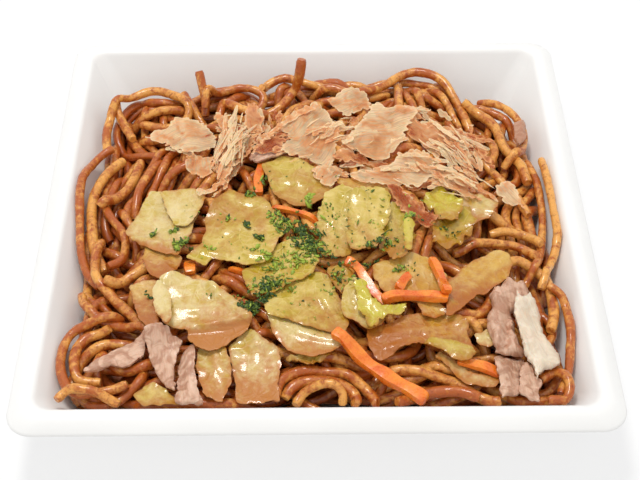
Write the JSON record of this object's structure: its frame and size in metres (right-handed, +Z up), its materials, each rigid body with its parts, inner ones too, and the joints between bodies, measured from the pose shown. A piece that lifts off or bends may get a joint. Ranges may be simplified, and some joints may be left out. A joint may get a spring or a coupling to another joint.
{
  "type": "yakisoba in a square tray",
  "caption": "Fried noodles with cabbage, carrot sticks, thin pork slices and dried fish flakes, heaped in a shallow square white tray with a turned-out lip.",
  "frame": {"origin": "middle of the tray's flat base, on the surface it stands on", "axes": "+Z up, +X to the right and +Y to the back as the tray is served"},
  "size_m": [0.17, 0.17, 0.0362],
  "materials": {
    "tray_white": "white foamed plastic, satin",
    "noodle": "wheat noodles coated in dark brown sauce and oil, wet sheen",
    "cabbage_pale": "cooked white cabbage, moist",
    "cabbage_green": "cooked yellow-green cabbage leaf, moist",
    "cabbage_browned": "cabbage stained with sauce, browned at its edges, moist",
    "carrot": "cooked carrot, moist",
    "pork": "cooked pork slice, fine-grained",
    "pork_fat": "white pork fat, waxy",
    "fish_flake": "dried fish shavings, thin and dry"
  },
  "bodies": {
    "root": {"cabbage_bright": "cabbage_green", "cabbage_center": "cabbage_green", "cabbage_center_fold": "cabbage_browned", "cabbage_front_corner": "cabbage_green", "cabbage_front_frill": "cabbage_green", "cabbage_front_left": "cabbage_browned", "cabbage_front_pale": "cabbage_pale", "cabbage_front_strip": "cabbage_pale", "cabbage_leafy_left": "cabbage_green", "cabbage_leafy_mid": "cabbage_green", "cabbage_leafy_right": "cabbage_green", "cabbage_left_flap": "cabbage_pale", "cabbage_left_small": "cabbage_browned", "cabbage_left_under": "cabbage_browned", "cabbage_left_white": "cabbage_pale", "cabbage_low_right": "cabbage_browned", "cabbage_low_tip": "cabbage_pale", "cabbage_mid": "cabbage_green", "cabbage_mid_left": "cabbage_green", "cabbage_mid_right": "cabbage_browned", "cabbage_pale_curl": "cabbage_pale", "cabbage_rib": "cabbage_pale", "cabbage_right_brown": "cabbage_browned", "cabbage_right_curl": "cabbage_green", "cabbage_right_frill": "cabbage_green", "cabbage_right_pale": "cabbage_pale", "cabbage_upper_mid": "cabbage_green", "cabbage_yellow_strip": "cabbage_green", "carrot_back": "carrot", "carrot_bent": "carrot", "carrot_cross": "carrot", "carrot_long": "carrot", "carrot_low": "carrot", "carrot_short": "carrot", "carrot_thin": "carrot", "carrot_under": "carrot", "flake_centre": "fish_flake", "flake_curl": "fish_flake", "flake_dark": "fish_flake", "flake_far_right": "fish_flake", "flake_left": "fish_flake", "flake_long": "fish_flake", "flake_lower": "fish_flake", "flake_mid_left": "fish_flake", "flake_ribbon": "fish_flake", "flake_right": "fish_flake", "flake_top": "fish_flake", "noodle_heap": "noodle", "pork_back": "pork", "pork_back_right": "pork", "pork_left_long": "pork", "pork_left_low": "pork", "pork_left_mid": "pork", "pork_right_back": "pork", "pork_right_corner": "pork", "pork_right_fat": "pork_fat", "pork_right_low": "pork", "tray": "tray_white"}
  },
  "joints": []
}
